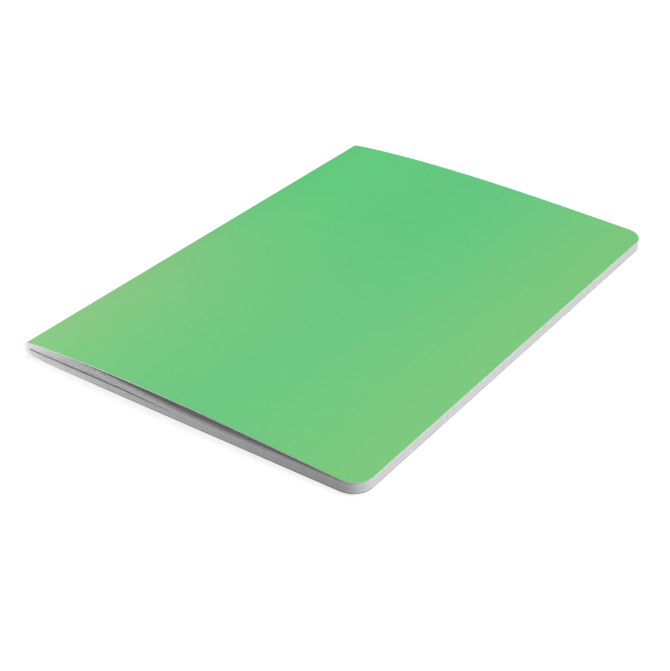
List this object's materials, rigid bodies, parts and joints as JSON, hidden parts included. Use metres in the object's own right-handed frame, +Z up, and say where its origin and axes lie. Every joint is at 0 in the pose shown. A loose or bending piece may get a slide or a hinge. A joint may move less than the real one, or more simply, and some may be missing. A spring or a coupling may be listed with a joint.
{
  "type": "composition notebook",
  "caption": "Soft-cover notebook: folded sheets sewn through the spine into a green card cover with rounded fore corners; both covers open at the spine.",
  "frame": {"origin": "middle of the rectangle that the closed notebook covers on the table, at the height of the table", "axes": "+X from the spine to the fore-edge, +Y along the spine from tail to head, +Z up through the closed notebook"},
  "size_m": [0.1454, 0.21, 0.0077],
  "materials": {
    "cover_card": "smooth coated card, satin, light green",
    "paper": "uncoated writing paper, matt white",
    "thread": "white twisted cotton sewing thread"
  },
  "bodies": {
    "signature": {"text_block": "paper", "spine": "cover_card", "needle_thread": "thread", "bobbin_thread": "thread"},
    "front": {"front_cover": "cover_card"},
    "back": {"back_cover": "cover_card"}
  },
  "joints": [
    {"name": "front_cover_hinge", "type": "hinge", "parent": "signature", "child": "front", "pos_m": [-0.07082, 0, 0.00575], "axis": [0, -1, 0], "range_deg": [0, 180]},
    {"name": "back_cover_hinge", "type": "hinge", "parent": "signature", "child": "back", "pos_m": [-0.07082, 0, 0.0007], "axis": [0, 1, 0], "range_deg": [0, 180]}
  ]
}
